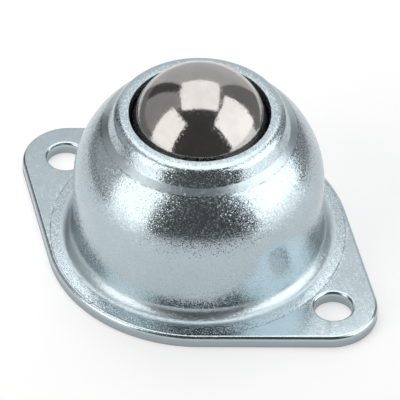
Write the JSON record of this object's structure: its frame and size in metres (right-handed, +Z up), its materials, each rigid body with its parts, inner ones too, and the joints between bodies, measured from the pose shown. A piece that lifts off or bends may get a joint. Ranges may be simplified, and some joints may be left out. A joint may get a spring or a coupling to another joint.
{
  "type": "ball transfer unit",
  "caption": "Ball transfer unit: a steel load ball turns on support balls in a hardened cup, inside a domed pressed-steel housing with a two-hole diamond flange.",
  "frame": {"origin": "centre of the flange's seating face, under the load ball", "axes": "+Z up through the load ball's centre and out of the seating face; +X through the centres of both bolt holes"},
  "size_m": [0.0788, 0.056, 0.0403],
  "materials": {
    "zinc_steel": "bright zinc plate, satin",
    "hardened_steel": "hardened, ground",
    "ring_steel": "zinc plate, satin",
    "ball_steel": "polished, faintly speckled",
    "support_ball_steel": "polished"
  },
  "bodies": {
    "housing_body": {"housing": "zinc_steel", "bearing_cup": "hardened_steel", "support_ring": "ring_steel"},
    "ball_rows": {"support_ball_1_1": "support_ball_steel", "support_ball_1_2": "support_ball_steel", "support_ball_1_3": "support_ball_steel", "support_ball_2_1": "support_ball_steel", "support_ball_2_2": "support_ball_steel", "support_ball_2_3": "support_ball_steel", "support_ball_2_4": "support_ball_steel", "support_ball_2_5": "support_ball_steel", "support_ball_2_6": "support_ball_steel", "support_ball_2_7": "support_ball_steel", "support_ball_2_8": "support_ball_steel", "support_ball_2_9": "support_ball_steel", "support_ball_3_1": "support_ball_steel", "support_ball_3_2": "support_ball_steel", "support_ball_3_3": "support_ball_steel", "support_ball_3_4": "support_ball_steel", "support_ball_3_5": "support_ball_steel", "support_ball_3_6": "support_ball_steel", "support_ball_3_7": "support_ball_steel", "support_ball_3_8": "support_ball_steel", "support_ball_3_9": "support_ball_steel", "support_ball_3_10": "support_ball_steel", "support_ball_3_11": "support_ball_steel", "support_ball_3_12": "support_ball_steel", "support_ball_3_13": "support_ball_steel", "support_ball_3_14": "support_ball_steel", "support_ball_4_1": "support_ball_steel", "support_ball_4_2": "support_ball_steel", "support_ball_4_3": "support_ball_steel", "support_ball_4_4": "support_ball_steel", "support_ball_4_5": "support_ball_steel", "support_ball_4_6": "support_ball_steel", "support_ball_4_7": "support_ball_steel", "support_ball_4_8": "support_ball_steel", "support_ball_4_9": "support_ball_steel", "support_ball_4_10": "support_ball_steel", "support_ball_4_11": "support_ball_steel", "support_ball_4_12": "support_ball_steel", "support_ball_4_13": "support_ball_steel", "support_ball_4_14": "support_ball_steel", "support_ball_4_15": "support_ball_steel", "support_ball_4_16": "support_ball_steel", "support_ball_4_17": "support_ball_steel"},
    "load_ball_body": {"load_ball": "ball_steel"}
  },
  "joints": [
    {"name": "ball_rows_turn", "type": "hinge", "parent": "housing_body", "child": "ball_rows", "pos_m": [0, 0, 0.0276], "axis": [0, 0, 1], "continuous": true},
    {"name": "load_ball_roll", "type": "hinge", "parent": "ball_rows", "child": "load_ball_body", "pos_m": [0, 0, 0.0276], "axis": [0, 1, 0], "continuous": true}
  ]
}
